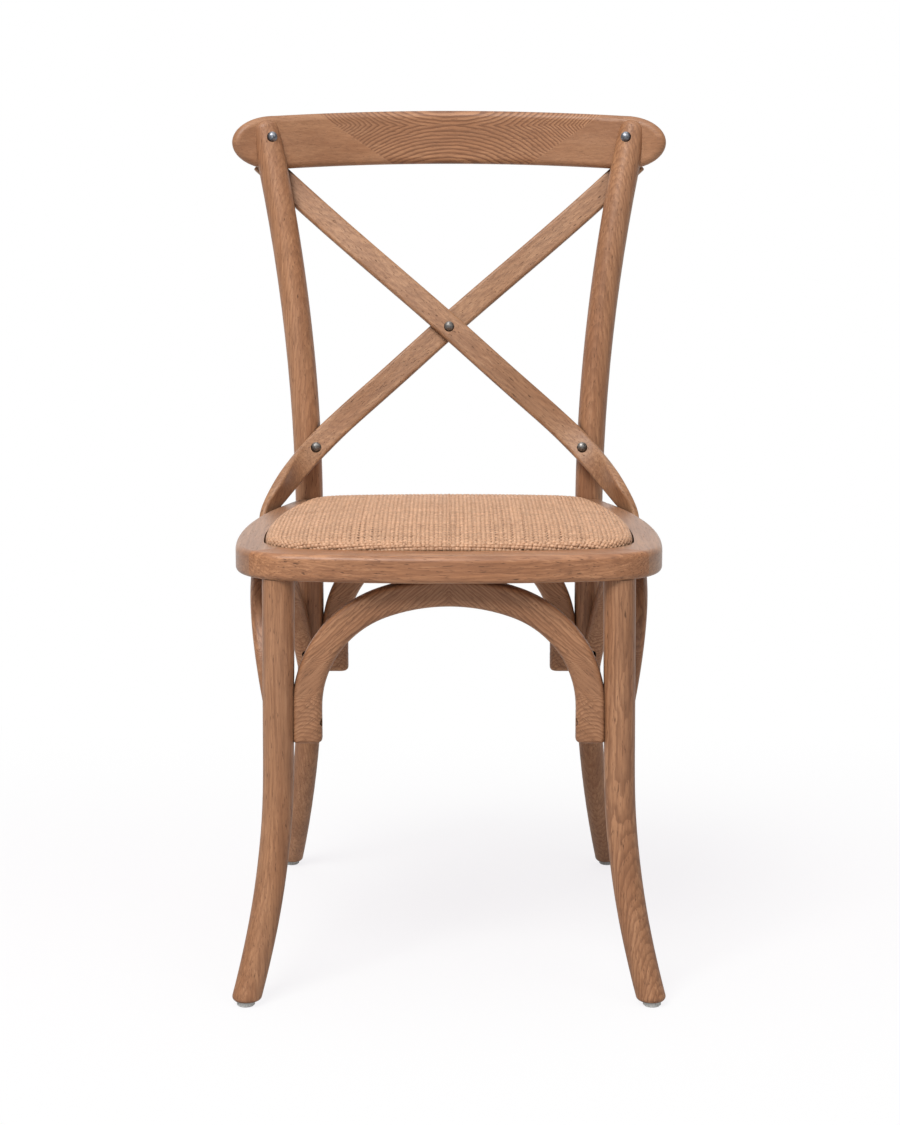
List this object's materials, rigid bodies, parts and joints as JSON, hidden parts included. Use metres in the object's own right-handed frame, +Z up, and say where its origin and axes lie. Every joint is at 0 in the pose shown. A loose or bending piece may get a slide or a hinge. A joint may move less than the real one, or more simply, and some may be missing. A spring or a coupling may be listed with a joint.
{
  "type": "cross_back_chair",
  "caption": "Cross back dining chair of bent and shaped wood, with a crowned woven cane seat, metal bolts and arched braces under the seat.",
  "frame": {"origin": "middle of the floor under the chair, at the centre of the bounding box", "axes": "+Z up, the chair faces -Y, +X is the right side as seen from the front"},
  "size_m": [0.4828, 0.4978, 0.884],
  "materials": {
    "leg_wood": "brushed and matt oiled",
    "seat_frame_wood": "brushed and matt oiled",
    "crest_wood": "brushed and matt oiled",
    "brace_wood": "brushed and matt oiled",
    "arch_wood": "brushed and matt oiled",
    "dowel_wood": "turned, bare",
    "plywood": "sanded, bare",
    "foam": "open foam",
    "cane": "woven natural cane, matt",
    "bolt_steel": "aged, satin",
    "screw_steel": "black phosphate",
    "glide_plastic": "matt"
  },
  "bodies": {
    "root": {"arch_crown_screws": "screw_steel", "arch_foot_screws": "screw_steel", "back_arch": "arch_wood", "back_leg_left": "leg_wood", "back_leg_right": "leg_wood", "brace_bolts": "bolt_steel", "brace_end_screws": "screw_steel", "brace_nuts": "bolt_steel", "brace_top_screws": "screw_steel", "crest_bolts": "bolt_steel", "crest_centre_block": "crest_wood", "crest_left_block": "crest_wood", "crest_nuts": "bolt_steel", "crest_right_block": "crest_wood", "cross_bolt": "bolt_steel", "cross_brace_front": "brace_wood", "cross_brace_rear": "brace_wood", "cross_nut": "bolt_steel", "front_arch": "arch_wood", "front_leg_left": "leg_wood", "front_leg_right": "leg_wood", "glide_back_left": "glide_plastic", "glide_back_right": "glide_plastic", "glide_front_left": "glide_plastic", "glide_front_right": "glide_plastic", "glide_nails": "screw_steel", "left_arch": "arch_wood", "right_arch": "arch_wood", "seat_back_rail": "seat_frame_wood", "seat_barrel_nuts": "bolt_steel", "seat_board": "plywood", "seat_board_screws": "screw_steel", "seat_bolts": "bolt_steel", "seat_cane": "cane", "seat_front_rail": "seat_frame_wood", "seat_left_rail": "seat_frame_wood", "seat_padding": "foam", "seat_rail_dowels": "dowel_wood", "seat_right_rail": "seat_frame_wood"}
  },
  "joints": []
}
